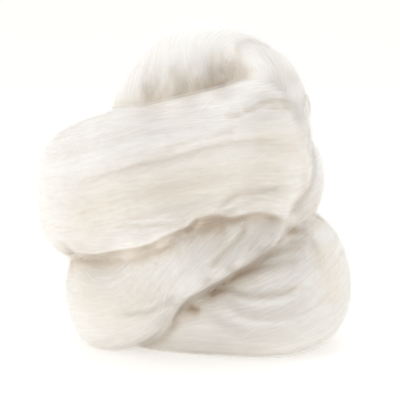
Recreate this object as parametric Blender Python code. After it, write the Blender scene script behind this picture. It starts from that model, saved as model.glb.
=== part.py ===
"""Wool roving: one thick combed strand of wool wound up on itself into a heap.

The strand is a flattened section swept along a path. It runs round the foot of the
heap, rises turn by turn, passes over the top and is tucked into the middle. The heap
rests on the plane z = 0. +Z is up, -Y is its front and +X its right.
"""

import math

import bmesh
import bpy
import numpy as np

MM = 0.001

# The section is an oval a little squarer than an ellipse.
SECTION_POWER = 2.1
SECTION_POINTS = 40
STATION_STEPS = 40
RING_SPACING = 5.5
# A fold is pressed in fully on the outer face and fades out towards the two edges.
FOLD_EDGE_FADE = 3.0
FOLD_END_POWER = 0.7

# The path, in mm and degrees. One row for each place where the strand changes its way,
# its width or its lie: middle of the section, width of the broad face, thickness, and
# the way that the broad face looks, as an azimuth from the front towards the right that
# goes on counting from turn to turn, and a tilt upwards that passes 90 over the top.
PATH_COLUMNS = ("x", "y", "z", "wide", "thick", "azimuth", "tilt")
PATH = (
    # foot turn: the hidden start, along the front, round the right end and the back
    (-31, 4, 14, 26, 24, -40, 10),
    (-14, -15, 18, 36, 27, -12, 6),
    (9, -24, 22, 44, 32, 4, 12),
    (33, -26, 26, 51, 36, 22, 16),
    (47, -12, 31, 56, 38, 62, 12),
    (47, 18, 31, 57, 38, 118, 8),
    (30, 38, 28, 57, 36, 160, 4),
    (0, 42, 27, 55, 36, 190, 0),
    (-27, 32, 26, 54, 38, 220, 0),
    (-40, 8, 26, 54, 38, 262, 0),
    # second turn: the left end, a slope up the front to the right end, and the back
    (-40, -10, 24, 50, 38, 310, 0),
    (-29, -24, 30, 46, 36, 345, 4),
    (-12, -32, 45, 38, 34, 360, 4),
    (9, -25, 58, 38, 34, 370, 0),
    (28, -10, 69, 42, 34, 400, -2),
    (38, 6, 76, 46, 36, 448, 0),
    (29, 30, 73, 52, 38, 498, 0),
    (2, 40, 68, 54, 36, 536, 0),
    (-27, 34, 66, 56, 36, 562, 0),
    (-50, 12, 68, 60, 38, 606, 0),
    # third turn: the wide band across the front
    (-53, -16, 71, 59, 38, 660, 6),
    (-38, -35, 78, 59, 34, 704, 8),
    (-14, -41, 86, 58, 34, 720, 6),
    (11, -40, 92, 58, 34, 734, 2),
    (30, -25, 91, 64, 34, 764, 0),
    (35, 0, 92, 60, 34, 812, 8),
    # last turn: up the back right, over the top and down behind the band
    (28, 15, 106, 54, 32, 845, 20),
    (17, 16, 118, 54, 30, 880, 42),
    (8, 9, 128, 54, 29, 890, 72),
    (1, 0, 130, 44, 29, 895, 105),
    (-6, -6, 120, 47, 38, 898, 145),
    (-10, -9, 105, 58, 42, 900, 172),
    (-10, -6, 90, 52, 42, 900, 180),
    (-10, -3, 76, 40, 34, 900, 182),
)

# Folds pressed into the outer face. From and to count the rows of the path from 0.
# Across runs from -1 at one edge of the face to 1 at the other, and spread is in the
# same measure. Depth is in mm, inwards, so that a ridge has a negative one.
FOLD_COLUMNS = ("from", "to", "across_from", "across_to", "spread", "depth")
FOLDS = (
    # groove along the wide band, and the roll above it
    (19.5, 25.6, -0.05, -0.30, 0.10, 2.2),
    (20.0, 25.6, -0.30, -0.52, 0.16, -1.6),
    # lip along the lower edge of the band
    (23.2, 25.6, 0.78, 0.68, 0.08, 1.8),
    (21.6, 23.4, 0.50, 0.72, 0.10, 1.6),
    # gathers where the last turn goes down behind the band
    (29.8, 32.0, 0.42, 0.46, 0.10, 2.6),
    (29.8, 31.8, -0.06, -0.08, 0.09, 2.4),
    # hollow of the last turn, where it twists over the top
    (28.6, 32.0, -0.62, -0.85, 0.32, 5.0),
    # bowl of the foot turn under the slope, and its fan of folds from the pinched start
    (1.2, 4.5, -0.80, -0.20, 0.42, 6.5),
    (1.0, 2.6, -0.80, -0.55, 0.25, 2.5),
    (1.8, 4.6, -0.45, 0.10, 0.12, 1.6),
    (1.6, 3.6, 0.15, 0.45, 0.10, 1.2),
)

# Rolled edge of the last turn: it stands up at the right end of the band and bends over
# to the left. The columns are those of the path.
LIP = (
    (33, -20, 90, 28, 22, 45, 0),
    (35, -23, 101, 32, 25, 45, 0),
    (35, -21, 112, 31, 25, 48, 10),
    (32, -14, 122, 30, 21, 62, 36),
    (25, -7, 129, 25, 15, 80, 55),
    (15, 0, 131, 18, 10, 90, 70),
)

# Tail of the strand, under the last turn: it curls round the inside of the coil and
# closes the hollow there. The columns are those of the path.
TAIL = (
    (-14, -10, 84, 30, 26, 270, 76),
    (-26, 4, 82, 36, 30, 270, 80),
    (-21, 20, 81, 40, 30, 270, 84),
    (-3, 28, 80, 40, 30, 270, 86),
    (16, 24, 78, 34, 28, 270, 90),
    (24, 12, 76, 26, 22, 270, 90),
)

# The first turns, hidden in the middle of the heap: an egg cut off by the table.
HEART_MIDDLE = (0.0, 4.0, 50.0)
HEART_RADII = (34.0, 31.0, 68.0)
HEART_RINGS = 14

TABLE_DEPTH = 30.0
TABLE_HALF_SIDE = 120.0

# Middle of the heap's footprint in the path's coordinates. It becomes the origin.
FOOT_MIDDLE = (-2.4, 0.7, 0.0)

# Points that the joins leave closer together than this, in mm, are made one.
WELD = 0.02


def spline(rows, steps):
    """Points on a Catmull-Rom curve through the rows, and the row number at each."""
    ends = np.vstack([2 * rows[0] - rows[1], rows, 2 * rows[-1] - rows[-2]])
    t = (np.arange(steps) / steps)[:, None]
    spans = []
    for a, b, c, d in zip(ends, ends[1:], ends[2:], ends[3:]):
        curve = 2 * b + (c - a) * t + (2 * a - 5 * b + 4 * c - d) * t**2
        spans.append(0.5 * (curve + (3 * b - a - 3 * c + d) * t**3))
    count = (len(rows) - 1) * steps
    return np.vstack(spans + [rows[-1:]]), np.arange(count + 1) / steps


def facing(azimuth, tilt):
    """Unit vectors that look along an azimuth and a tilt in degrees."""
    a = np.radians(azimuth)
    e = np.radians(tilt)
    return np.stack([np.sin(a) * np.cos(e), -np.cos(a) * np.cos(e), np.sin(e)], 1)


def unit(vectors):
    return vectors / np.linalg.norm(vectors, axis=1)[:, None]


def sections(path):
    """Evenly spaced sections of a strand: middle, the way that the broad face looks,
    the way to its edge, width, thickness and row number."""
    table = np.array(path, float)
    rows = np.hstack([table[:, :5], facing(table[:, 5], table[:, 6])])
    curve, station = spline(rows, STATION_STEPS)
    steps = np.linalg.norm(np.diff(curve[:, :3], axis=0), axis=1)
    along = np.r_[0, np.cumsum(steps)]
    even = np.linspace(0, along[-1], int(along[-1] / RING_SPACING))
    at = np.stack([np.interp(even, along, column) for column in curve.T], 1)
    middle = at[:, :3]
    way = unit(np.gradient(middle, axis=0))
    out = at[:, 5:8]
    out = unit(out - (out * way).sum(1)[:, None] * way)
    edge = np.cross(way, out)
    return middle, out, edge, at[:, 3], at[:, 4], np.interp(even, along, station)


def fold_depth(folds, station, across):
    """How far the outer face is pressed in, for each section and point across it."""
    depth = np.zeros((len(station), len(across)))
    for start, end, first, last, spread, deep in folds:
        share = np.clip((station - start) / (end - start), 0, 1)
        middle = first + (last - first) * share
        fade = np.sin(math.pi * share) ** FOLD_END_POWER
        shape = np.exp(-(((across[None, :] - middle[:, None]) / spread) ** 2))
        depth += deep * fade[:, None] * shape
    return depth


def strand(path, folds):
    """Closed mesh swept along a path, with its folds pressed in."""
    middle, out, edge, wide, thick, station = sections(path)
    turn = np.arange(SECTION_POINTS) * 2 * math.pi / SECTION_POINTS
    power = 2 / SECTION_POWER
    up = np.sign(np.cos(turn)) * np.abs(np.cos(turn)) ** power
    across = np.sign(np.sin(turn)) * np.abs(np.sin(turn)) ** power
    height = thick[:, None] / 2 * up
    height -= fold_depth(folds, station, across) * np.clip(FOLD_EDGE_FADE * up, 0, 1)
    points = middle[:, None] + out[:, None] * height[:, :, None]
    points += edge[:, None] * (wide[:, None] / 2 * across)[:, :, None]
    return tube(points)


def tube(rings):
    """Points and faces of rings joined one to the next and closed at both ends."""
    count, around = rings.shape[:2]
    points = [tuple(point) for point in rings.reshape(-1, 3)]
    faces = []
    for i in range(count - 1):
        low = i * around
        high = low + around
        for j in range(around):
            k = (j + 1) % around
            faces.append((low + j, low + k, high + k, high + j))
    last = (count - 1) * around
    for ring, first, way in ((rings[0], 0, -1), (rings[-1], last, 1)):
        order = list(range(first, first + around))[::way]
        tip = len(points)
        points.append(tuple(ring.mean(axis=0)))
        faces += [(order[j], order[(j + 1) % around], tip) for j in range(around)]
    return points, faces


def heart():
    """The hidden middle of the heap."""
    angle = np.linspace(0, math.pi, HEART_RINGS + 2)[1:-1]
    turn = np.arange(SECTION_POINTS) * 2 * math.pi / SECTION_POINTS
    ring = np.stack([np.cos(turn), np.sin(turn), 0 * turn], 1)
    rings = np.sin(angle)[:, None, None] * ring
    rings[:, :, 2] -= np.cos(angle)[:, None]
    return tube(rings * HEART_RADII + HEART_MIDDLE)


def table_top():
    """What lies below the heap and flattens its foot."""
    side = TABLE_HALF_SIDE
    ring = np.array([(-side, -side), (side, -side), (side, side), (-side, side)])
    return tube(np.array([np.c_[ring, np.full(4, z)] for z in (-TABLE_DEPTH, 0)]))


def add(name, shape):
    """An object made of points in mm and faces."""
    points, faces = shape
    mesh = bpy.data.meshes.new(name)
    placed = (np.array(points) - FOOT_MIDDLE) * MM
    mesh.from_pydata(placed.tolist(), [], faces)
    work = bmesh.new()
    work.from_mesh(mesh)
    bmesh.ops.triangulate(work, faces=work.faces)
    bmesh.ops.recalc_face_normals(work, faces=work.faces)
    work.to_mesh(mesh)
    work.free()
    thing = bpy.data.objects.new(name, mesh)
    bpy.context.scene.collection.objects.link(thing)
    return thing


def join(thing, name, shape, operation):
    """A Boolean of the object with a helper that doesn't render."""
    helper = add(name, shape)
    helper.hide_render = True
    helper.display_type = "WIRE"
    step = thing.modifiers.new(name, "BOOLEAN")
    step.operation = operation
    step.solver = "EXACT"
    step.use_self = operation == "UNION"
    step.object = helper


def islands(work):
    """Groups of faces that hang together, the largest last."""
    left = set(work.faces)
    groups = []
    while left:
        group = set()
        edge = [left.pop()]
        while edge:
            face = edge.pop()
            group.add(face)
            sides = [side for side in face.edges if len(side.link_faces) == 2]
            near = {other for side in sides for other in side.link_faces} & left
            left -= near
            edge += near
        groups.append(group)
    return sorted(groups, key=len)


def settle(thing):
    """Makes the joins real and drops the scraps that they leave inside the heap."""
    graph = bpy.context.evaluated_depsgraph_get()
    mesh = bpy.data.meshes.new_from_object(thing.evaluated_get(graph))
    thing.modifiers.clear()
    thing.data = mesh
    work = bmesh.new()
    work.from_mesh(mesh)
    bmesh.ops.remove_doubles(work, verts=work.verts, dist=WELD * MM)
    bmesh.ops.dissolve_degenerate(work, edges=work.edges, dist=WELD * MM)
    for scrap in islands(work)[:-1]:
        bmesh.ops.delete(work, geom=list(scrap), context="FACES")
    work.to_mesh(mesh)
    work.free()


for old in list(bpy.data.objects):
    bpy.data.objects.remove(old)

roving = add("roving", strand(PATH, FOLDS))
join(roving, "rolled_edge", strand(LIP, ()), "UNION")
join(roving, "tail", strand(TAIL, ()), "UNION")
join(roving, "hidden_turns", heart(), "UNION")
join(roving, "table_top", table_top(), "DIFFERENCE")
settle(roving)

wool = bpy.data.materials.new("Combed cream wool")
wool.use_nodes = True
surface = wool.node_tree.nodes["Principled BSDF"]
surface.inputs["Base Color"].default_value = (0.80, 0.76, 0.69, 1)
surface.inputs["Roughness"].default_value = 0.9
roving.data.materials.clear()
roving.data.materials.append(wool)
roving.data.shade_smooth()
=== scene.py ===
"""Wool roving: the looks of one combed wool strand wound up into a heap."""

import math

import bpy
import numpy as np
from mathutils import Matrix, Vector
from mathutils.bvhtree import BVHTree
from mathutils.kdtree import KDTree


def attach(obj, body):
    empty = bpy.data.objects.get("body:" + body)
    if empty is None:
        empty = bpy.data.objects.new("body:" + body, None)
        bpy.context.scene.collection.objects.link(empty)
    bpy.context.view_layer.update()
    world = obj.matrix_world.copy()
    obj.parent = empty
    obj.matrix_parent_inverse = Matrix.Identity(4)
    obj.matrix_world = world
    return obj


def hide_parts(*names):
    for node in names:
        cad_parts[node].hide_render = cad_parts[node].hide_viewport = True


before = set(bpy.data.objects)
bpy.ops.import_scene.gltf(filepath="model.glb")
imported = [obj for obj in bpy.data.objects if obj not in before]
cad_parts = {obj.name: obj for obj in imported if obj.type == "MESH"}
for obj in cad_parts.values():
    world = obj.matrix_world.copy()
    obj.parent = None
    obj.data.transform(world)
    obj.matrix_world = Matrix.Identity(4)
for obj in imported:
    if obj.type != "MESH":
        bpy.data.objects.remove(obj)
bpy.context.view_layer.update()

# ---- The combed strand -----------------------------------------------------------------
# One rope of scoured, combed and unspun wool, some 57 mm wide and 36 mm thick. It is laid
# by hand round the foot of the heap, up the front in a wide band, and over the top.

# Middle of the section, width of the broad face and thickness in mm, then the way that
# the broad face looks: azimuth from the front towards the right, and tilt upwards.
STRAND_PATH = (
    # foot turn: hidden start, front, right end, back
    (-31, 4, 14, 26, 24, -40, 10), (-14, -15, 18, 36, 27, -12, 6),
    (9, -24, 22, 44, 32, 4, 12), (33, -26, 26, 51, 36, 22, 16),
    (47, -12, 31, 56, 38, 62, 12), (47, 18, 31, 57, 38, 118, 8),
    (30, 38, 28, 57, 36, 160, 4), (0, 42, 27, 55, 36, 190, 0),
    (-27, 32, 26, 54, 38, 220, 0), (-40, 8, 26, 54, 38, 262, 0),
    # second turn: left end, slope up the front, right end, back
    (-40, -10, 24, 50, 38, 310, 0), (-29, -24, 30, 46, 36, 345, 4),
    (-12, -32, 45, 38, 34, 360, 4), (9, -27, 58, 38, 34, 368, 2),
    (28, -15, 68, 42, 34, 390, 0), (38, 6, 76, 46, 36, 448, 0),
    (29, 30, 73, 52, 38, 498, 0), (2, 40, 68, 54, 36, 536, 0),
    (-27, 34, 66, 56, 36, 562, 0), (-50, 12, 68, 60, 38, 606, 0),
    # third turn: the wide band across the front
    (-53, -16, 71, 59, 38, 660, 6), (-38, -35, 78, 59, 34, 704, 8),
    (-14, -41, 86, 58, 34, 720, 6), (11, -40, 92, 58, 34, 734, 2),
    (30, -25, 91, 64, 34, 764, 0), (35, 0, 92, 60, 34, 812, 8),
    # last turn: back right, over the top, down behind the band
    (28, 15, 106, 54, 32, 845, 20), (17, 16, 118, 54, 30, 880, 42),
    (8, 9, 128, 54, 29, 890, 72), (1, 0, 130, 44, 29, 895, 105),
    (-6, -6, 120, 47, 38, 898, 145), (-10, -9, 105, 58, 42, 900, 172),
    (-10, -6, 90, 52, 42, 900, 180), (-10, -3, 76, 40, 34, 900, 182),
)
FOOT_MIDDLE = (-2.4, 0.7, 0.0)

# Rows of the path from and to, place across the face from -1 to 1 at both ends, spread
# in the same measure, and depth in mm. A ridge has a negative depth.
STRAND_FOLDS = (
    # groove along the band, roll above it, lip and notch along its lower edge
    (19.5, 25.6, -0.05, -0.30, 0.10, 1.0), (20.0, 25.6, -0.30, -0.52, 0.16, -1.0),
    (23.2, 25.6, 0.78, 0.68, 0.08, 1.0), (21.6, 23.4, 0.50, 0.72, 0.10, 1.0),
    (22.2, 23.0, 1.00, 0.85, 0.12, 3.0),
    # gathers and hollow of the last turn
    (29.8, 32.0, 0.42, 0.46, 0.10, 1.0), (29.8, 31.8, -0.06, -0.08, 0.09, 0.8),
    (28.6, 32.0, -0.62, -0.85, 0.32, 1.0),
    # bowl of the foot turn, full edge of the slope over it
    (1.2, 4.5, -0.80, -0.20, 0.42, 3.0), (11.6, 15.0, 0.80, 0.80, 0.24, -3.0),
)
# How far the fibres have turned about the strand's middle, as rows of the path and
# degrees. Where the turn grows, fibres climb towards the strand's upper edge.
STRAND_TWIST = ((2.6, 0), (6.0, 70), (11.4, 70), (14.2, 165), (29.2, 165), (31.6, 200))
# Points in a ring, mm from ring to ring, and the mm that count once round the strand.
AROUND, RING_GAP, ROUND = 120, 1.2, 124


def spline(rows, steps):
    """Points on a Catmull-Rom curve through the rows, and the row number at each."""
    ends = np.vstack([2 * rows[0] - rows[1], rows, 2 * rows[-1] - rows[-2]])
    t = (np.arange(steps) / steps)[:, None]
    spans = []
    for a, b, c, d in zip(ends, ends[1:], ends[2:], ends[3:]):
        curve = 2 * b + (c - a) * t + (2 * a - 5 * b + 4 * c - d) * t**2
        spans.append(0.5 * (curve + (3 * b - a - 3 * c + d) * t**3))
    count = (len(rows) - 1) * steps
    return np.vstack(spans + [rows[-1:]]), np.arange(count + 1) / steps


def unit(vectors):
    """Vectors of length 1 that point the same ways."""
    return vectors / np.maximum(np.linalg.norm(vectors, axis=-1, keepdims=True), 1e-9)


def bumps(along, across, long, wide, seed):
    """Soft random heights from 0 to 1, each long by wide mm: the locks of the wool. They
    meet again once round the strand. A seed also moves its heights along and round."""
    grid = 64
    heights = np.random.default_rng(seed).random((grid, grid))
    cells = round(ROUND / wide)
    u, v = along / long + seed * 0.37, across / ROUND * cells + seed * 0.71
    i, j = np.floor(u).astype(int), np.floor(v).astype(int)
    f, g = u - i, v - j
    f, g = f * f * (3 - 2 * f), g * g * (3 - 2 * g)
    i0, i1, j0, j1 = i % grid, (i + 1) % grid, j % cells, (j + 1) % cells
    low = heights[i0, j0] * (1 - g) + heights[i0, j1] * g
    high = heights[i1, j0] * (1 - g) + heights[i1, j1] * g
    return low * (1 - f) + high * f


def sweep(path, folds=(), twist=((0, 0), (9, 0)), start=0.0):
    """Rings of points in mm round a strand, with what its fibres need to follow it. Its
    locks are those that begin start mm along the combed rope."""
    table = np.array(path, float)
    azimuth, tilt = np.radians(table[:, 5]), np.radians(table[:, 6])
    face = np.stack([np.sin(azimuth) * np.cos(tilt), -np.cos(azimuth) * np.cos(tilt),
                     np.sin(tilt)], 1)
    curve, station = spline(np.hstack([table[:, :5], face]), steps=40)
    steps = np.linalg.norm(np.diff(curve[:, :3], axis=0), axis=1)
    run = np.r_[0, np.cumsum(steps)]
    along = np.linspace(0, run[-1], int(run[-1] / RING_GAP))
    station = np.interp(along, run, station)
    at = np.stack([np.interp(along, run, column) for column in curve.T], 1)
    way = unit(np.gradient(at[:, :3], axis=0))
    out = at[:, 5:8]
    out = unit(out - (out * way).sum(1)[:, None] * way)
    edge = np.cross(way, out)
    turn = np.arange(AROUND) / AROUND * 2 * math.pi
    # The section is a little fuller than an ellipse, for which the power would be 1.
    fuller = 2 / 2.1
    up = np.sign(np.cos(turn)) * np.abs(np.cos(turn)) ** fuller
    across = np.sign(np.sin(turn)) * np.abs(np.sin(turn)) ** fuller
    height = at[:, 4:5] / 2 * up
    for first, last, here, there, spread, deep in folds:
        share = np.clip((station - first) / (last - first), 0, 1)
        middle = here + (there - here) * share
        press = np.exp(-(((across[None, :] - middle[:, None]) / spread) ** 2))
        press *= deep * np.sin(math.pi * share)[:, None]
        # Only the broad face that looks outwards has folds.
        height -= press * np.clip(3 * up, 0, 1)
    points = at[:, None, :3] + out[:, None] * height[:, :, None]
    points += edge[:, None] * (at[:, 3:4] / 2 * across)[:, :, None]
    points -= FOOT_MIDDLE
    along = along + start
    turned = np.radians(np.interp(station, *np.array(twist, float).T))
    # The place across the strand counts fibres, not mm, so locks fan out with the wool.
    from_face = (turn + math.pi) % (2 * math.pi) - math.pi
    lay = (from_face[None, :] + turned[:, None]) / math.pi * (ROUND / 2)
    # Wool laid by hand is never even: it swells and sinks by a mm or so.
    swell = bumps(along[:, None], lay, long=42, wide=26, seed=9) - 0.5
    points += ring_normals(points) * (2.4 * swell)[:, :, None]
    return {"points": points, "normals": ring_normals(points), "along": along,
            "turned": turned, "lay": lay, "faces_out": np.cos(turn)}


def ring_normals(points):
    """Ways out of the strand at its rings' points."""
    run = np.gradient(points, axis=0)
    ring = np.roll(points, -1, axis=1) - np.roll(points, 1, axis=1)
    return unit(np.cross(ring, run))


strand = sweep(STRAND_PATH, STRAND_FOLDS, STRAND_TWIST)

# ---- The rolled edge -------------------------------------------------------------------
# The edge of the last turn, rolled over by the bend. It stands up at the right end of
# the band and leans to the left over the top. Same wool as the strand.
EDGE_PATH = (
    (33, -20, 90, 28, 22, 45, 0), (35, -23, 101, 32, 25, 45, 0),
    (35, -21, 112, 31, 25, 48, 10), (32, -14, 122, 30, 21, 62, 36),
    (25, -7, 129, 25, 15, 80, 55), (15, 0, 131, 18, 10, 90, 70),
)
edge = sweep(EDGE_PATH, start=2000.0)
# Between it and the rest of the last turn the wool is gathered, with no gap.
GATHER_PATH = (
    (20, -14, 100, 26, 12, 14, 0), (21, -14, 110, 26, 13, 16, 6),
    (20, -12, 119, 27, 14, 18, 22), (17, -6, 127, 24, 12, 18, 50),
    (13, 2, 131, 18, 8, 18, 72),
)
gather = sweep(GATHER_PATH, start=2500.0)

# ---- The tail and the hidden turns -----------------------------------------------------
# The end of the strand is pushed down into the coil and curls round inside it. Under it
# the first turns fill the middle of the heap down to the table.
TAIL_PATH = (
    (-14, -10, 84, 30, 26, 270, 76), (-26, 4, 82, 36, 30, 270, 80),
    (-21, 20, 81, 40, 30, 270, 84), (-3, 28, 80, 40, 30, 270, 86),
    (16, 24, 78, 34, 28, 270, 90), (24, 12, 76, 26, 22, 270, 90),
)
HIDDEN_PATH = (
    (0, 4, -4, 60, 56, 0, 0), (0, 4, 8, 64, 58, 0, 0), (0, 4, 30, 68, 62, 0, 0),
    (0, 4, 60, 66, 60, 0, 0), (0, 4, 85, 56, 50, 0, 0), (0, 4, 105, 36, 34, 0, 0),
    (0, 4, 116, 12, 10, 0, 0),
)
tail = sweep(TAIL_PATH, start=3000.0)
hidden = sweep(HIDDEN_PATH, start=4000.0)

# ---- The wool's surface ----------------------------------------------------------------
# Turns of loose wool cling where they touch: fibres of both bridge the crease. So all of
# the wool has one surface, which is drawn out of the five sweeps and softened in its
# creases. A fine relief of locks runs along it.
sweeps = (strand, edge, gather, tail, hidden)
corners, quads, caps = [], [], []
for piece in sweeps:
    rings, first = len(piece["points"]), sum(len(c) for c in corners)
    corners.append(piece["points"].reshape(-1, 3))
    row = first + (np.arange(rings - 1) * AROUND)[:, None]
    low, beside = row + np.arange(AROUND), row + (np.arange(AROUND) + 1) % AROUND
    quads.append(np.stack([low, beside, beside + AROUND, low + AROUND], 2).reshape(-1, 4))
    caps.append(list(range(first + AROUND - 1, first - 1, -1)))
    caps.append(list(range(first + (rings - 1) * AROUND, first + rings * AROUND)))
corners, quads = np.vstack(corners), np.vstack(quads)


def read_mesh(mesh):
    """The points of a mesh in mm, and its four-sided faces."""
    at = np.empty(len(mesh.vertices) * 3)
    mesh.vertices.foreach_get("co", at)
    index = np.empty(len(mesh.loops), int)
    mesh.loops.foreach_get("vertex_index", index)
    return at.reshape(-1, 3) * 1000, index.reshape(-1, 4)


# Size of the surface's voxels, in m. As fine as a piece's share of triangles lets it
# be, in m.
SURFACE_STEP = 0.00104
rough = bpy.data.meshes.new("rough_heap")
rough.from_pydata((corners / 1000).tolist(), [], quads.tolist() + caps)
rough_heap = bpy.data.objects.new("rough_heap", rough)
bpy.context.scene.collection.objects.link(rough_heap)
shrink = rough_heap.modifiers.new("one_surface", "REMESH")
shrink.mode = "VOXEL"
shrink.voxel_size = SURFACE_STEP
merged = rough_heap.evaluated_get(bpy.context.evaluated_depsgraph_get()).to_mesh()
points, faces = read_mesh(merged)
ends = np.empty(len(merged.edges) * 2, int)
merged.edges.foreach_get("vertices", ends)
ends = ends.reshape(-1, 2)
neighbours = np.bincount(ends.ravel(), minlength=len(points))
bpy.data.objects.remove(rough_heap)


def spread_to_points(index, values, count):
    """Sums of the values that belong to each point."""
    return np.stack([np.bincount(index, v, count) for v in values.T], 1)


def point_normals(points, faces):
    crossed = np.cross(points[faces[:, 2]] - points[faces[:, 0]],
                       points[faces[:, 3]] - points[faces[:, 1]])
    return unit(spread_to_points(faces.ravel(), np.repeat(crossed, 4, axis=0), len(points)))


def neighbour_mean(values):
    """Mean of the values at the points that share an edge with each point."""
    total = spread_to_points(ends[:, 0], values[ends[:, 1]], len(values))
    total += spread_to_points(ends[:, 1], values[ends[:, 0]], len(values))
    return total / neighbours[:, None]


# Fibres fill the creases a little everywhere, and more in these places: x, y, z and
# reach in mm, and how much.
FILLED = (
    # where the last turn comes over
    (20, -15, 118, 13, 1.0), (46, -28, 108, 13, 1.0), (34, -33, 121, 9, 1.0),
    (47, -26, 104, 8, 1.0), (17, -16, 124, 14, 1.0), (6, -20, 118, 9, 0.3),
    (26, -29, 118, 10, 1.0), (23, -5, 137, 9, 1.0), (30, -10, 133, 9, 1.0),
    # where the slope crosses the foot turn
    (3, -34, 28, 7, 0.4), (14, -31, 35, 7, 0.4), (27, -31, 42, 7, 0.4),
    (38, -29, 50, 7, 0.4),
)
FILLED_EVERYWHERE = 0.012
filling = np.full(len(points), FILLED_EVERYWHERE)
for x, y, z, reach, much in FILLED:
    far = np.linalg.norm(points - (x, y, z), axis=1)
    filling = np.maximum(filling, much * np.exp(-((far / reach) ** 2)))
# Hollows come out, and what stands out hardly goes in.
for step in range(150):
    if step % 15 == 0:
        normals = point_normals(points, faces)
    pull = neighbour_mean(points) - points
    hollow = (pull * normals).sum(1) > 0
    points = points + pull * (filling * np.where(hollow, 0.6, 0.03))[:, None]
for step in range(2):
    points = points + 0.4 * (neighbour_mean(points) - points)

# Each point of the surface takes the lie of its fibres from the nearest sweep.
nearest = BVHTree.FromPolygons(corners.tolist(), quads.tolist())
found = [nearest.find_nearest(p) for p in points.tolist()]
quad = quads[[f[2] for f in found]]
near = np.array([f[0] for f in found])
corner = corners[quad[:, 0]]
side, forth = corners[quad[:, 1]] - corner, corners[quad[:, 3]] - corner
offset = near - corner
g = np.clip((offset * side).sum(1) / np.maximum((side**2).sum(1), 1e-9), 0, 1)
f = np.clip((offset * forth).sum(1) / np.maximum((forth**2).sum(1), 1e-9), 0, 1)
all_along = np.concatenate([np.repeat(piece["along"], AROUND) for piece in sweeps])
all_lay = np.concatenate([piece["lay"].ravel() for piece in sweeps])
all_out = np.concatenate([np.tile(piece["faces_out"], len(piece["along"]))
                          for piece in sweeps])
along = all_along[quad[:, 0]] * (1 - f) + all_along[quad[:, 3]] * f
here, beside, ahead = (all_lay[quad[:, corner_no]] for corner_no in (0, 1, 3))
lay = here + ((beside - here + ROUND / 2) % ROUND - ROUND / 2) * g + (ahead - here) * f


def wool_relief(along, across):
    """Height in mm of the locks and creases that run along a combed strand. Bumps have
    their length and width in mm, then a seed."""
    drift = 7 * bumps(along, across, 60, 30, 1) + 2 * bumps(along, across, 22, 12, 2)
    across = across + drift
    relief = 0.45 * bumps(along, across, 110, 13, 3) + 0.2 * bumps(along, across, 80, 6, 4)
    relief += 0.08 * bumps(along, across, 55, 2.8, 5)
    crease = np.exp(-(((bumps(along, across, 90, 9, 6) - 0.5) / 0.05) ** 2))
    gate = np.clip(3 * bumps(along, across, 50, 16, 7) - 1.6, 0, 1)
    return relief - 0.3 - 0.2 * crease * gate


relief = wool_relief(along, lay) * np.clip(1.6 + 2 * all_out[quad[:, 0]], 0.2, 1)
# Where two turns meet, the relief of one runs out into that of the other, so that no
# point stands over its neighbours by more than this many mm.
TOP_JUMP = 0.06
for step in range(12):
    around = neighbour_mean(relief[:, None])[:, 0]
    relief = np.where(np.abs(around - relief) > TOP_JUMP, around, relief)
points = points + point_normals(points, faces) * relief[:, None]

# The camera's place: 0.85 m in front and 8 degrees above the level. What is easier to
# place in the view than along the strand is given in 400ths of its view, to the right and
# down from the view's top left corner.
DISTANCE, VIEW_WIDTH, VIEW_STEPS, LIFT = 850.0, 181.8, 400, math.radians(8)
AIM = np.array((2.4, -1.0, 65.8))
AWAY = np.array((0, -math.cos(LIFT), math.sin(LIFT)))
UP = np.array((0, math.sin(LIFT), math.cos(LIFT)))
EYE = AIM + DISTANCE * AWAY
VIEW_STEP, VIEW_MIDDLE = VIEW_WIDTH / VIEW_STEPS, VIEW_STEPS / 2


def seen_places(points):
    """Places of points in the camera's view."""
    off = points - EYE
    scale = DISTANCE / VIEW_STEP / -(off @ AWAY)
    return np.stack([VIEW_MIDDLE + off[:, 0] * scale, VIEW_MIDDLE - (off @ UP) * scale], 1)


# The turns are handled into place, which moves them by a few mm: where, how far to the
# right, down and forward, and the reach, in steps of the view.
HANDLED = (
    (70, 252, 0, -5, 0, 22), (132, 247, 0, 6, 0, 22), (160, 236, 0, 7, 0, 20),
    (200, 290, 0, 4, 0, 14), (222, 275, 0, 5, 0, 14), (246, 262, 0, 6, 0, 14),
    (285, 216, 0, 5, 0, 12), (310, 106, -8, 0, 0, 22), (320, 146, -6, 0, 0, 18),
    (298, 76, -4, 3, 0, 14), (254, 68, 0, 0, 10, 16), (236, 60, 0, 0, 5, 12),
    (150, 98, 0, 6, 0, 22), (190, 92, 0, 6, 0, 24), (222, 86, 0, 4, 0, 18),
)
# They move in two halves, and only the front of the heap does.
for step in range(2):
    place, moved = seen_places(points), np.zeros((len(points), 3))
    for u, v, right, down, forward, reach in HANDLED:
        near_by = np.exp(-(((place - (u, v)) ** 2).sum(1) / reach**2))
        moved += near_by[:, None] * (right / 2, down / 2, forward / 2)
    moved *= np.clip((10 - points[:, 1:2]) / 30, 0, 1) * VIEW_STEP
    points = points + moved[:, :1] * (1, 0, 0) - moved[:, 1:2] * UP + moved[:, 2:] * AWAY
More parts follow.
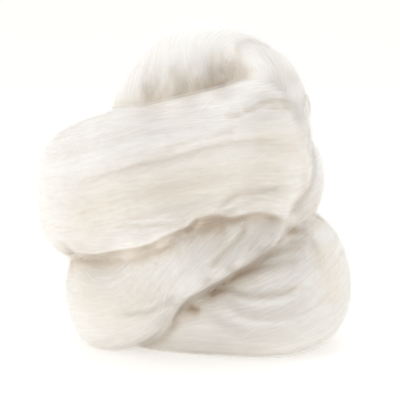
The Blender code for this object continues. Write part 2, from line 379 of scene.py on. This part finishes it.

# Creases between locks, and the lips of turns that lie over others: depth, width and lip
# in mm, how much painted warm shade darkens the wool there, and the places it runs
# through. A lip is on the left as the line runs. A row of no depth is painted shade only.
CREASES = (
    # lower edge of the band: left part, notch, right part
    (1.3, 1.4, 0.22, 0.34, ((64, 243), (75, 254), (92, 256), (112, 253), (132, 250),
                           (150, 246), (165, 238), (180, 231), (190, 227))),
    (2.8, 1.1, 0.17, 0.80, ((184, 230), (189, 228), (193, 222), (200, 220))),
    (1.5, 1.3, 0.22, 0.40, ((192, 222), (205, 218), (218, 216), (232, 219), (248, 215),
                           (262, 214), (275, 217), (288, 220))),
    # edge of the slope over the foot turn
    (0.7, 1.3, 0.50, 0.22, ((152, 342), (162, 336), (171, 326), (177, 312), (187, 300),
                           (205, 290), (225, 279), (245, 268), (262, 257), (276, 246),
                           (284, 235), (291, 224))),
    # foot turn: pits, then creases that fan out of the pinch
    (0.6, 2.0, 0, 0.50, ((186, 306), (194, 309), (200, 314))),
    (0.8, 1.6, 0, 0.36, ((207, 297), (214, 293), (222, 289))),
    (0.8, 1.6, 0, 0.55, ((286, 233), (292, 231), (298, 230))),
    (0.5, 1.1, 0, 0.22, ((232, 274), (242, 270), (254, 268))),
    (0.9, 1.1, 0, 0.20, ((214, 292), (224, 290), (235, 292), (246, 295), (260, 296),
                         (275, 294), (290, 290), (302, 283))),
    (0.8, 1.0, 0, 0.20, ((246, 269), (258, 268), (272, 265), (286, 262), (300, 259))),
    (0.35, 0.9, 0, 0.05, ((226, 300), (236, 307), (250, 312), (266, 314), (285, 313),
                         (300, 308), (313, 299))),
    (0.3, 0.9, 0, 0.04, ((232, 305), (250, 316), (270, 319), (290, 317), (306, 311),
                         (319, 303), (329, 291), (336, 277))),
    (0.3, 0.9, 0, 0.05, ((204, 308), (215, 318), (228, 326), (245, 331))),
    (0.7, 1.0, 0, 0.22, ((262, 258), (276, 253), (290, 249), (303, 247))),
    (0.7, 1.0, 0, 0.22, ((284, 244), (295, 242), (306, 243))),
    # slope: folds down from under the band, and painted shade under its lower edge
    (0.9, 1.2, 0, 0.20, ((246, 221), (242, 234), (231, 246), (219, 258), (208, 271))),
    (0.4, 1.0, 0, 0.06, ((263, 221), (259, 236), (248, 250))),
    (0.4, 1.0, 0, 0.06, ((228, 222), (222, 240), (210, 255))),
    (0.5, 1.4, 0, 0.06, ((118, 315), (135, 314), (150, 311), (165, 303), (176, 294))),
    (0, 5.0, 0, 0.30, ((193, 228), (210, 225), (228, 226))),
    (0, 4.0, 0, 0.08, ((92, 262), (116, 262))),
    (0, 4.0, 0, 0.14, ((128, 258), (160, 250), (180, 242))),
    # last turn: gathers at the band's upper edge, and painted shade along that edge and in
    # a hollow
    (0.5, 1.0, 0, 0.13, ((143, 84), (147, 93), (151, 101))),
    (0.5, 1.0, 0, 0.13, ((181, 74), (183, 85), (185, 94))),
    (0.4, 1.0, 0, 0.08, ((197, 76), (199, 88))),
    (0.4, 1.2, 0, 0.06, ((171, 66), (169, 80), (167, 94))),
    (0.5, 1.4, 0, 0.08, ((213, 52), (212, 68), (213, 80))),
    (0.5, 1.4, 0, 0.08, ((224, 46), (222, 62), (223, 76))),
    (0.5, 1.4, 0, 0.08, ((236, 46), (238, 58), (239, 70))),
    (0, 4.0, 0, 0.09, ((140, 104), (165, 98), (200, 89), (225, 82))),
    (0, 6.0, 0, 0.06, ((229, 72), (230, 60))),
    # upper right of the band
    (0.8, 1.3, 0.12, 0.18, ((255, 104), (264, 101), (275, 99), (284, 100), (291, 102))),
    (0.6, 1.0, 0, 0.18, ((226, 117), (242, 115))),
    (0.6, 1.0, 0, 0.18, ((242, 112), (256, 109))),
    (0.6, 1.0, 0, 0.14, ((269, 108), (291, 109))),
    (0.4, 1.0, 0, 0.06, ((216, 134), (240, 128), (270, 128), (302, 127))),
    (0.4, 1.0, 0, 0.06, ((160, 150), (188, 141), (215, 135), (240, 131))),
    # step along the band, roll at its lower right, crease at its lower left
    (0.7, 1.5, 0.28, 0.06, ((58, 185), (80, 181), (100, 176), (120, 170), (140, 164),
                           (160, 160), (180, 155), (200, 149), (222, 144), (246, 141),
                           (272, 140), (302, 144))),
    (0.9, 1.3, 0.28, 0.18, ((292, 186), (272, 190), (255, 193), (240, 195), (230, 200),
                           (221, 208))),
    (0.6, 1.0, 0.17, 0.12, ((112, 227), (130, 225), (150, 224), (176, 222))),
    # painted soft shade on the band's lower half and right end, and on the slope's foot
    (0, 8.0, 0, 0.08, ((318, 240), (332, 275), (330, 310))),
    (0, 11.0, 0, 0.10, ((56, 226), (120, 202), (190, 186), (250, 178), (300, 170))),
    (0, 8.0, 0, 0.11, ((250, 146), (278, 146), (306, 150))),
    (0, 9.0, 0, 0.07, ((72, 285), (95, 305), (125, 312), (160, 285))),
    # right end of the band over the turn behind it
    (0.5, 2.4, 0, 0.10, ((290, 215), (297, 205), (302, 195), (304, 184), (305, 172),
                           (305, 160), (304, 150))),
)
normals = point_normals(points, faces)
surface = BVHTree.FromPolygons(points.tolist(), faces.tolist())
place = seen_places(points)
to_eye = unit(EYE - points)
towards_eye = (normals * to_eye).sum(1)
# A crease is pressed in only where the surface faces its line and nothing is before it.
in_sight = towards_eye > 0.05
for i in np.flatnonzero(in_sight):
    begin = Vector(points[i] + normals[i] * 0.7)
    in_sight[i] = surface.ray_cast(begin, Vector(to_eye[i]), 200)[0] is None
pressed, painted_crease_shade = np.zeros(len(points)), np.zeros(len(points))
for deep, wide, lip, crease_shade_share, places in CREASES:
    curve = spline(np.array(places, float), 6)[0]
    begin, leg = curve[:-1], np.diff(curve, axis=0)
    reach = 4 * wide / VIEW_STEP
    close = (place > curve.min(0) - reach).all(1) & (place < curve.max(0) + reach).all(1)
    close &= in_sight
    off = place[close][:, None] - begin[None]
    t = np.clip((off * leg).sum(2) / (leg**2).sum(1), 0, 1)
    gap = off - t[:, :, None] * leg
    far = np.linalg.norm(gap, axis=2)
    leg_no = far.argmin(1)
    row = np.arange(len(leg_no))
    leg_u, leg_v = leg[leg_no].T
    gap_u, gap_v = gap[row, leg_no].T
    side = np.sign(leg_u * gap_v - leg_v * gap_u)
    far = far[row, leg_no] * VIEW_STEP / wide
    run = (leg_no + t[row, leg_no]) / len(leg)
    # It runs out over an eighth of its length at each end.
    fade = np.clip(np.minimum(run, 1 - run) * 8, 0.15, 1)
    if lip:
        under = np.where(side > 0, np.exp(-((far / 1.6) ** 2)), np.exp(-((far / 0.5) ** 2)))
        over = np.where(side < 0, np.exp(-((far - 1.3) ** 2)), 0)
    else:
        under, over = np.exp(-(far**2)), 0
    pressed[close] += fade * (deep * under - lip * over)
    # Painted warm shade: the crease's colour darkens where the surface faces the camera.
    facing = np.clip(2.5 * towards_eye[close], 0, 1)
    painted_crease_shade[close] = np.maximum(painted_crease_shade[close], fade * crease_shade_share * under * facing)
# Where creases meet, no lip stands higher than 1 mm and none goes deeper than 3.5 mm.
points = points - normals * np.clip(pressed, -1.0, 3.5)[:, None]
worked = np.clip(np.abs(pressed) * 2, 0, 1)[:, None]
for step in range(2):
    points = points + 0.25 * worked * (neighbour_mean(points) - points)
# The table bears the foot.
points[:, 2] = np.maximum(points[:, 2], 0)
normals = point_normals(points, faces)
surface = BVHTree.FromPolygons(points.tolist(), faces.tolist())

# Shelter: how much of what a point of the surface faces is other wool close by. It sets
# painted shade: a sheltered point's colour is painted darker and warmer. Wool shelters
# less with its distance, in mm: half of it fades fast and half slowly.
RAYS, REACH, NEAR, FAR = 14, 45.0, 5, 22
GOLDEN_ANGLE = 2.39996
turnings = np.arange(RAYS) + 0.5
rise, spin = np.sqrt(1 - turnings / RAYS), turnings * GOLDEN_ANGLE
rays = np.stack([np.sqrt(1 - rise**2) * np.cos(spin), np.sqrt(1 - rise**2) * np.sin(spin),
                 rise], 1)
# Every fifth point is asked, and each point takes the mean of the three nearest answers.
asked = np.arange(0, len(points), 5)
answers = KDTree(len(asked))
occlusion_found = np.zeros(len(asked))
for i, spot in enumerate(asked):
    out = normals[spot]
    one = unit(np.cross(out, (0.3, 0.5, 0.8)))
    ways = rays @ np.stack([one, np.cross(out, one), out])
    begin = Vector(points[spot] + out * 0.6)
    for way in ways.tolist():
        far = surface.ray_cast(begin, Vector(way), REACH)[3]
        if far is not None:
            occlusion_found[i] += (math.exp(-far / NEAR) + math.exp(-far / FAR)) / 2 / RAYS
    answers.insert(points[spot], i)
answers.balance()
shelter = np.array([[occlusion_found[[hit[1] for hit in answers.find_n(p, 3)]].mean()]
                    for p in points.tolist()])
for step in range(3):
    shelter = (shelter + neighbour_mean(shelter)) / 2
# Painted shade: a little darker towards the table, plus the creases' painted shade.
shelter = np.maximum(shelter[:, 0], 0) + painted_crease_shade + 0.06 * np.exp(-points[:, 2] / NEAR)


def mesh_piece(name, points, faces, marks, material):
    """A smooth mesh in metres from points in mm, with named values at its points."""
    mesh = bpy.data.meshes.new(name)
    mesh.vertices.add(len(points))
    mesh.vertices.foreach_set("co", (points / 1000).astype(np.float32).ravel())
    mesh.loops.add(faces.size)
    mesh.loops.foreach_set("vertex_index", faces.astype(np.int32).ravel())
    mesh.polygons.add(len(faces))
    mesh.polygons.foreach_set("loop_start", np.arange(0, faces.size, 4, dtype=np.int32))
    mesh.polygons.foreach_set("use_smooth", np.ones(len(faces), bool))
    for mark, values in marks.items():
        kind = "FLOAT" if values.ndim == 1 else "FLOAT_VECTOR"
        layer = mesh.attributes.new(mark, kind, "POINT")
        layer.data.foreach_set("value" if values.ndim == 1 else "vector",
                               values.astype(np.float32).ravel())
    mesh.update()
    mesh.validate()
    mesh.materials.append(material)
    piece = bpy.data.objects.new(name, mesh)
    bpy.context.scene.collection.objects.link(piece)
    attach(piece, "root")
    return piece


def from_hex(code):
    """Linear colour of an sRGB hex value."""
    parts = [int(code[i:i + 2], 16) / 255 for i in (0, 2, 4)]
    linear = [p / 12.92 if p <= 0.04045 else ((p + 0.055) / 1.055) ** 2.4 for p in parts]
    return linear + [1]


def node(tree, kind, **settings):
    """Adds a shader node. A setting is a property, the stops of a colour ramp as pairs of
    place and hex colour, or an input's value or its link."""
    made = tree.nodes.new("ShaderNode" + kind)
    for name, value in settings.items():
        if name == "stops":
            marks = made.color_ramp.elements
            for place, code in value[1:-1]:
                marks.new(place).color = from_hex(code)
            for mark, (place, code) in zip((marks[0], marks[-1]), (value[0], value[-1])):
                mark.position, mark.color = place, from_hex(code)
            continue
        if name in made.bl_rna.properties and not made.bl_rna.properties[name].is_readonly:
            setattr(made, name, value)
            continue
        socket = next(put for put in made.inputs if put.enabled
                      and (put.name == name.replace("_", " ") or put.identifier == name))
        if isinstance(value, bpy.types.Node):
            value = next(out for out in value.outputs if out.enabled)
        if isinstance(value, bpy.types.NodeSocket):
            tree.links.new(value, socket)
        else:
            socket.default_value = value
    return made


def new_material(name):
    """A material with no nodes yet, and its tree."""
    made = bpy.data.materials.new(name)
    made.use_nodes = True
    made.node_tree.nodes.clear()
    return made, made.node_tree


def along_fibres(tree, long, wide, detail):
    """Noise with marks this many mm long and wide, which lie the way the fibres do."""
    lie = node(tree, "Attribute", attribute_name="lie").outputs["Vector"]
    place = node(tree, "Mapping", Vector=lie, Scale=(1 / long, 1 / wide, 0))
    return node(tree, "TexNoise", Vector=place, Scale=1.0, Detail=detail).outputs["Fac"]


# Painted shade: colours that the wool is multiplied with, from open wool to the bottom of a
# crease.
PAINTED_SHADE_STOPS = ((0.0, "FFFFFF"), (0.08, "FDFBF8"), (0.2, "F7F3ED"), (0.4, "ECE1D2"),
             (0.7, "D4BD9F"), (1.0, "B8956B"))


def painted_shade_colour(tree):
    """The painted shade colour that shelter gives white wool."""
    painted_shade_here = node(tree, "Attribute", attribute_name="shelter").outputs["Fac"]
    return node(tree, "ValToRGB", stops=PAINTED_SHADE_STOPS, Fac=painted_shade_here).outputs["Color"]


def with_painted_shade(tree, colour):
    """A colour of open wool, darkened by its painted shade."""
    return node(tree, "Mix", data_type="RGBA", blend_type="MULTIPLY", Factor=1.0,
                A=colour, B=painted_shade_colour(tree))


# Undyed wool is ivory, and each lock of it is a little lighter or darker.
DARK_LOCK, LIGHT_LOCK = "F9F5EF", "FEFBF7"

# Scoured and combed sheep's wool, undyed: clean cream scales over a clear core. Light
# sinks in a few mm and comes back warm, so it looks soft. Its creases are painted beige
# shade.
combed_wool, tree = new_material("Combed wool, undyed, scoured")
locks = along_fibres(tree, long=50, wide=3, detail=2.0)
slivers = along_fibres(tree, long=25, wide=0.8, detail=3.0)
shade = node(tree, "ValToRGB", stops=((0.3, DARK_LOCK), (0.7, LIGHT_LOCK)), Fac=locks)
# Painted shade multiplies the lock colour.
colour_in_painted_shade = with_painted_shade(tree, shade.outputs["Color"])
bump = node(tree, "Bump", Height=slivers, Strength=0.08, Distance=0.0006)
wool = node(tree, "BsdfPrincipled", Base_Color=colour_in_painted_shade, Normal=bump, Roughness=0.75,
            IOR=1.55, Sheen_Weight=1.0, Sheen_Roughness=0.35, Subsurface_Weight=0.5,
            Subsurface_Scale=0.003, Subsurface_Radius=(1.0, 0.85, 0.7),
            Specular_IOR_Level=0.3)
node(tree, "OutputMaterial", Surface=wool.outputs["BSDF"])

lie_at = np.stack([along, lay, np.zeros(len(points))], 1)
roving = mesh_piece("combed_strand", points, faces, {"lie": lie_at, "shelter": shelter},
                    combed_wool)
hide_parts("roving")
# Painted shade of each face, for the fibres that lie on it.
face_painted_shade = shelter[faces].mean(1)

# ---- Lying fibres ----------------------------------------------------------------------
# Combing lays the fibres side by side, but some come up to the surface and lie across
# their neighbours. Nothing holds them but their own crimp and scales.


def sample(grid, row, column):
    """Values of a grid of rings between its points."""
    row = np.clip(row, 0, len(grid) - 1.001)
    i, j = np.floor(row).astype(int), np.floor(column).astype(int)
    f, g = (row - i)[..., None], (column - j)[..., None]
    j0, j1 = j % AROUND, (j + 1) % AROUND
    low = grid[i, j0] * (1 - g) + grid[i, j1] * g
    high = grid[i + 1, j0] * (1 - g) + grid[i + 1, j1] * g
    return low * (1 - f) + high * f


def settle(line, out, reach):
    """Brings points onto the wool's surface, and says which of them are on it and the
    painted shade of the wool there. A point under another turn is sunk by 1 mm instead."""
    flat, away = line.reshape(-1, 3), out.reshape(-1, 3)
    seen, shade = np.zeros(len(flat), bool), np.zeros(len(flat))
    placed = flat - away
    for i, spot in enumerate(flat.tolist()):
        at, normal, index, _ = surface.find_nearest(spot, reach)
        if at is not None and normal.dot(away[i]) > 0.5:
            placed[i], seen[i], shade[i] = at, True, face_painted_shade[index]
    each = line.shape[:-1]
    return placed.reshape(line.shape), seen.reshape(each), shade.reshape(each)


def ribbons(name, line, out, height, thick, shade, rng, material):
    """Thin tapered ribbons along lines of points, at heights over them in mm. Their ends
    go down into the wool."""
    count, along = line.shape[:2]
    bedded = 0.05
    line = line + out * (height - bedded)[:, :, None]
    flat = unit(np.cross(unit(np.gradient(line, axis=1)), out))
    roll = rng.uniform(-0.18, 0.18, (count, 1))[:, :, None]
    broad = flat * np.cos(roll) + out * np.sin(roll)
    t = np.linspace(0.04, 0.96, along)[None, :]
    taper = np.clip(np.sin(math.pi * t) * 2, 0.1, 1)
    half = (thick / 2 * rng.uniform(0.6, 1.4, (count, 1)) * taper)[:, :, None]
    both = np.stack([line - broad * half, line + broad * half], 2)
    both[..., 2] = np.maximum(both[..., 2], 0.05)  # clear of the table
    index = np.arange(count * along * 2).reshape(count, along, 2)
    faces = np.stack([index[:, :-1, 0], index[:, :-1, 1], index[:, 1:, 1],
                      index[:, 1:, 0]], -1).reshape(-1, 4)
    marks = {"tint": np.repeat(rng.random(count), along * 2),
             "shelter": np.repeat(shade.ravel(), 2)}
    return mesh_piece(name, both.reshape(-1, 3), faces, marks, material)


def fibres(name, piece, count, seed, long, thick, lift, tip, stray, segments, material):
    """Fibres along a sweep, in mm. Lift is the height over it, tip that of a fibre's free
    end, and stray how far it wanders sideways. Those that would start under another turn
    are left out."""
    rng = np.random.default_rng(seed)
    rows = len(piece["points"])
    start = rng.uniform(-6, rows - 4, count)
    # The broad face and both edges have fibres. The side that lies inwards doesn't show.
    angle = rng.uniform(-0.62, 0.62, count) * math.pi
    halfway = np.clip(start + long / 2 / RING_GAP, 0, rows - 2)
    column = angle / (2 * math.pi) * AROUND
    middle = sample(piece["points"], halfway, column)
    keep = settle(middle, sample(piece["normals"], halfway, column), 2.5)[1]
    start, angle, halfway = start[keep], angle[keep], halfway[keep]
    angle += np.interp(halfway, np.arange(rows), piece["turned"])
    count = len(start)
    t = np.linspace(0, 1, segments + 1)[None, :]
    length = long * rng.uniform(0.6, 1.4, (count, 1)) / RING_GAP
    row = np.clip(start[:, None] + t * length, 0, rows - 1.01)
    drift = rng.normal(0, stray, (count, 1)) * (t - 0.5)
    crimp = rng.uniform(0.05, 0.25, (count, 1)) * np.sin(
        t * rng.uniform(6, 16, (count, 1)) + rng.uniform(0, 6, (count, 1)))
    angle = angle[:, None] - np.interp(row, np.arange(rows), piece["turned"])
    column = (angle + (drift + crimp) / 20) / (2 * math.pi) * AROUND
    out = sample(piece["normals"], row, column)
    line, _, shade = settle(sample(piece["points"], row, column), out, 3.0)
    height = rng.uniform(0, 1, (count, 1)) * lift * np.sin(math.pi * t) ** 0.6
    height = height + tip * rng.uniform(0.1, 1, (count, 1)) ** 2 * t**2.2
    return ribbons(name, line, unit(out), height, thick, shade, rng, material)


# Loose fibres of the same combed wool. They catch a little more light than the wool they
# lie on, and so thin a fibre lets the light behind it shine through.
loose_wool, tree = new_material("Wool fibres, loose")
tint = node(tree, "Attribute", attribute_name="tint").outputs["Fac"]
hue = node(tree, "ValToRGB", stops=((0.0, DARK_LOCK), (1.0, LIGHT_LOCK)), Fac=tint)
# Each fibre takes the painted shade of the wool under it.
colour_in_painted_shade = with_painted_shade(tree, hue.outputs["Color"])
fibre = node(tree, "BsdfPrincipled", Base_Color=colour_in_painted_shade, Roughness=0.6, IOR=1.55,
             Sheen_Weight=1.0, Sheen_Roughness=0.35, Specular_IOR_Level=0.25)
through = node(tree, "BsdfTranslucent", Color=colour_in_painted_shade)
both_ways = node(tree, "MixShader", Fac=0.4, Shader=fibre, Shader_001=through)
node(tree, "OutputMaterial", Surface=both_ways)

# Single fibres are 0.025 mm thick. They are drawn 0.1 to 0.2 mm wide, as locks of some
# tens of fibres, because a single one is too fine to show.
LYING = (
    # name, sweep, how many, seed, length, width, lift and stray in mm, and segments
    ("lying_locks", strand, 5000, 11, 70, 0.20, 0.15, 4, 14),
    ("lying_fibres_1", strand, 10000, 12, 50, 0.12, 0.20, 5, 9),
    ("lying_fibres_2", strand, 10000, 13, 40, 0.10, 0.30, 6, 9),
    ("edge_fibres", edge, 1500, 14, 30, 0.14, 0.25, 4, 9),
    ("tail_fibres", tail, 1500, 15, 35, 0.14, 0.25, 4, 9),
)
for name, piece, count, seed, long, thick, lift, stray, segments in LYING:
    fibres(name, piece, count, seed, long, thick, lift, 0, stray, segments, loose_wool)

# ---- Gathered fibres -------------------------------------------------------------------
# Where a turn is pinched under the next one, its fibres gather towards the pinch and fan
# out from it. Each fan has the number of its fibres, how far they spread at its start
# and at its end, and the places that it runs through in the camera's view.
FANS = (
    # foot turn, out of the pinch under the slope and round to the right end
    (120, 2, 9, ((208, 294), (224, 291), (246, 295), (275, 294), (300, 285), (318, 268))),
    (140, 3, 12, ((206, 300), (226, 302), (250, 313), (285, 313), (313, 299), (333, 276))),
    (120, 3, 14, ((200, 308), (215, 320), (245, 333), (285, 333), (320, 316), (340, 290))),
    (120, 3, 10, ((228, 277), (246, 270), (272, 266), (298, 259), (318, 245))),
    (120, 3, 9, ((236, 272), (262, 258), (290, 249), (308, 243), (318, 232))),
    (120, 3, 10, ((289, 231), (300, 233), (312, 246), (318, 270), (312, 292))),
    (90, 3, 12, ((289, 233), (296, 246), (298, 266), (290, 284))),
    (70, 2, 8, ((286, 230), (298, 228), (312, 226), (326, 236))),
    # across the crease between the slope and the foot turn
    (110, 5, 6, ((183, 304), (200, 293), (220, 283), (240, 271))),
    (110, 5, 6, ((228, 276), (248, 266), (266, 254), (280, 240))),
    (80, 7, 9, ((181, 318), (190, 306), (203, 296), (216, 291))),
    # slope, down from under the band
    (90, 12, 14, ((206, 222), (203, 240), (194, 260), (176, 282))),
    (90, 12, 12, ((232, 220), (227, 240), (214, 260), (196, 280))),
    (90, 10, 9, ((256, 218), (252, 234), (240, 248), (222, 264))),
    (60, 6, 6, ((276, 219), (272, 232), (258, 247))),
    # last turn, up from behind the band
    (90, 3, 14, ((148, 104), (149, 92), (155, 72), (168, 52))),
    (90, 3, 14, ((184, 101), (182, 88), (182, 66), (190, 45))),
    (90, 6, 14, ((212, 95), (212, 80), (211, 60), (206, 42))),
    (90, 6, 12, ((233, 88), (232, 72), (230, 56), (218, 42))),
    # upper right of the band, and its right end
    (70, 6, 7, ((232, 108), (256, 103), (276, 99), (298, 103))),
    (70, 8, 9, ((225, 122), (255, 114), (280, 112), (303, 116))),
    (70, 8, 8, ((232, 203), (252, 196), (276, 191), (300, 184))),
)


def fans(name, guides, seed, thick, lift, material):
    """Fibres gathered along lines that the camera sees."""
    rng = np.random.default_rng(seed)
    lines = []
    for count, narrow, broad, places in guides:
        curve = spline(np.array(places, float), 12)[0]
        run = np.linspace(0, 1, len(curve))
        way = unit(np.gradient(curve, axis=0))
        begin = rng.uniform(0, 0.45, (count, 1))
        t = begin + np.linspace(0, 1, 12)[None, :] * rng.uniform(0.3, 0.55, (count, 1))
        aside = rng.uniform(-1, 1, (count, 1)) * (narrow + (broad - narrow) * t)
        sway = rng.normal(0, 1, (count, 1))
        aside += sway * np.sin(3 * t + rng.uniform(0, 6, (count, 1)))
        u, v, along_u, along_v = (np.interp(t, run, c) for c in (*curve.T, *way.T))
        lines.append(np.stack([u - along_v * aside, v + along_u * aside], 2))
    flat = np.concatenate(lines)
    line, out = np.zeros((*flat.shape[:2], 3)), np.zeros((*flat.shape[:2], 3))
    shade, whole = np.zeros(flat.shape[:2]), np.ones(len(flat), bool)
    for i, j in np.ndindex(*flat.shape[:2]):
        way = -DISTANCE * AWAY + (VIEW_MIDDLE - flat[i, j, 1]) * VIEW_STEP * UP
        way[0] += (flat[i, j, 0] - VIEW_MIDDLE) * VIEW_STEP
        at, normal, index, _ = surface.ray_cast(Vector(EYE), Vector(way))
        if at is None:
            whole[i] = False
            continue
        line[i, j], out[i, j], shade[i, j] = at, normal, face_painted_shade[index]
    # A line that jumps from one turn to the next one would hang in the air.
    top_jump = 4  # mm
    whole &= np.abs(np.diff(line[:, :, 1], axis=1)).max(1) < top_jump
    line, out, shade = line[whole], out[whole], shade[whole]
    height = lift * rng.uniform(0, 1, (len(line), 1)) * np.sin(
        math.pi * np.linspace(0, 1, line.shape[1]))[None, :] ** 0.6
    return ribbons(name, line, out, height, thick, shade, rng, material)


fans("gathered_fibres", FANS, seed=31, thick=0.14, lift=0.3, material=loose_wool)

# ---- Raised fibres ---------------------------------------------------------------------
# A few fibre ends that combing didn't lay down stand out from the strand by up to 4 mm.
# They are drawn 0.045 mm wide, as twice a single fibre.
for name, piece, count, seed, long, stray in (("raised_fibres", strand, 450, 21, 22, 9),
                                              ("raised_edge_fibres", edge, 80, 22, 16, 7)):
    fibres(name, piece, count, seed, long, thick=0.045, lift=0.3, tip=4.0, stray=stray,
           segments=7, material=loose_wool)

# ---- The nap ---------------------------------------------------------------------------
# The finest fibres have sprung loose and stand all over the wool as a thin nap. Single
# ones are far too fine to show, so it is drawn as two veils over the wool's surface.


def nap_material(name, cover):
    """Sprung fibres of combed wool, which cover this share of what is behind them. Light
    comes round and through them, so the outline fades and creases look soft."""
    veil, tree = new_material(name)
    tufts = along_fibres(tree, long=8, wide=1.0, detail=2.0)
    share = node(tree, "MapRange", Value=tufts, From_Min=0.3, From_Max=0.7,
                 To_Min=cover * 0.88, To_Max=cover * 1.12)
    # The veils are coloured with the wool's painted shade: white over open wool, beige over
    # creases.
    colour = painted_shade_colour(tree)
    fibre = node(tree, "BsdfPrincipled", Base_Color=colour, Roughness=0.8, IOR=1.55,
                 Sheen_Weight=0.5, Sheen_Roughness=0.4, Specular_IOR_Level=0.1)
    through = node(tree, "BsdfTranslucent", Color=colour)
    both_ways = node(tree, "MixShader", Fac=0.5, Shader=fibre, Shader_001=through)
    gaps = node(tree, "BsdfTransparent")
    thin = node(tree, "MixShader", Fac=share, Shader=gaps, Shader_001=both_ways)
    node(tree, "OutputMaterial", Surface=thin)
    return veil


def nap(name, high, cover):
    """A veil of fibres this many mm over the wool, which bridges its fine creases."""
    cover_mesh = bpy.data.objects.new("rough_" + name, roving.data.copy())
    bpy.context.scene.collection.objects.link(cover_mesh)
    coarse = cover_mesh.modifiers.new("coarse", "REMESH")
    coarse.mode, coarse.voxel_size = "VOXEL", 0.0018  # m
    even = cover_mesh.modifiers.new("even", "SMOOTH")
    even.factor, even.iterations = 0.5, 5
    rise = cover_mesh.modifiers.new("rise", "DISPLACE")
    rise.mid_level, rise.strength = 0.0, high / 1000
    raised = cover_mesh.evaluated_get(bpy.context.evaluated_depsgraph_get()).to_mesh()
    at, faces = read_mesh(raised)
    bpy.data.objects.remove(cover_mesh)
    # On the table the veils lie just over the wool, one over the other.
    at[:, 2] = np.maximum(at[:, 2], 0.03 * high)
    below = [surface_points.find(p)[1] for p in at.tolist()]
    marks = {"lie": lie_at[below], "shelter": shelter[below]}
    return mesh_piece(name, at, faces, marks, nap_material("Wool nap, " + name, cover))


surface_points = KDTree(len(points))
for i, p in enumerate(points.tolist()):
    surface_points.insert(p, i)
surface_points.balance()
nap("nap_low", high=0.9, cover=0.36)
nap("nap_high", high=2.1, cover=0.16)

# ---- The table -------------------------------------------------------------------------
# A sheet of matt white board, far larger than the view. It glows a little, so that it
# stays pale and lights the wool from below as well.
white_board = bpy.data.materials.new("White board, matt")
white_board.use_nodes = True
board = white_board.node_tree.nodes["Principled BSDF"]
board.inputs["Base Color"].default_value = from_hex("CFCECC")
board.inputs["Roughness"].default_value = 0.9
board.inputs["Specular IOR Level"].default_value = 0.1
board.inputs["Emission Color"].default_value = from_hex("FFFDFA")
board.inputs["Emission Strength"].default_value = 0.49
half = 30.0  # m
sheet = bpy.data.meshes.new("table")
sheet.from_pydata([(-half, -half, 0), (half, -half, 0), (half, half, 0), (-half, half, 0)],
                  [], [(0, 1, 2, 3)])
sheet.materials.append(white_board)
table = bpy.data.objects.new("table", sheet)
bpy.context.scene.collection.objects.link(table)

# ---- The lamps -------------------------------------------------------------------------
# Four large soft boxes and bright white walls all round. There are few shadows: the wool
# is shaded by its own turns.
room = bpy.data.worlds.new("White room")
bpy.context.scene.world = room
room.use_nodes = True
tree = room.node_tree
facing = node(tree, "TexCoord")
split = node(tree, "SeparateXYZ", Vector=facing.outputs["Generated"])
# The side behind the camera is darker, so the edges of the wool come out brightest.
walls = node(tree, "MapRange", Value=split.outputs["Y"], From_Min=-0.9, From_Max=1.0,
             To_Min=0.62, To_Max=1.03)
tree.links.new(walls.outputs["Result"], tree.nodes["Background"].inputs["Strength"])
tree.nodes["Background"].inputs["Color"].default_value = from_hex("FFFFFF")


def soft_box(name, place, size, power):
    """A round lamp that faces the middle of the heap: place and size in m, power in W."""
    middle = Vector((0, 0, 0.07))
    lamp = bpy.data.lights.new(name, "AREA")
    lamp.shape = "DISK"
    lamp.size = size
    lamp.energy = power
    box = bpy.data.objects.new(name, lamp)
    box.location = place
    box.rotation_euler = (middle - Vector(place)).to_track_quat("-Z", "Y").to_euler()
    bpy.context.scene.collection.objects.link(box)


soft_box("soft_box_left", (-0.9, -0.5, 0.2), 0.7, 1.5)
soft_box("soft_box_top", (0.0, 0.0, 1.1), 1.0, 3.3)
soft_box("soft_box_back_left", (-0.7, 0.7, 0.4), 0.8, 0.7)
soft_box("soft_box_back_right", (0.7, 0.7, 0.4), 0.8, 0.5)

# ---- The camera ------------------------------------------------------------------------
# It stands where the view's places above are seen from, at arm's length and a little
# over the heap, with a long lens.
SENSOR = 36
camera = bpy.data.cameras.new("camera")
camera.sensor_width = SENSOR
camera.lens = SENSOR * DISTANCE / VIEW_WIDTH
stand = bpy.data.objects.new("camera", camera)
stand.location = EYE / 1000
stand.rotation_euler = Vector(-AWAY).to_track_quat("-Z", "Y").to_euler()
bpy.context.scene.collection.objects.link(stand)
bpy.context.scene.camera = stand
bpy.context.scene.view_settings.view_transform = "Standard"
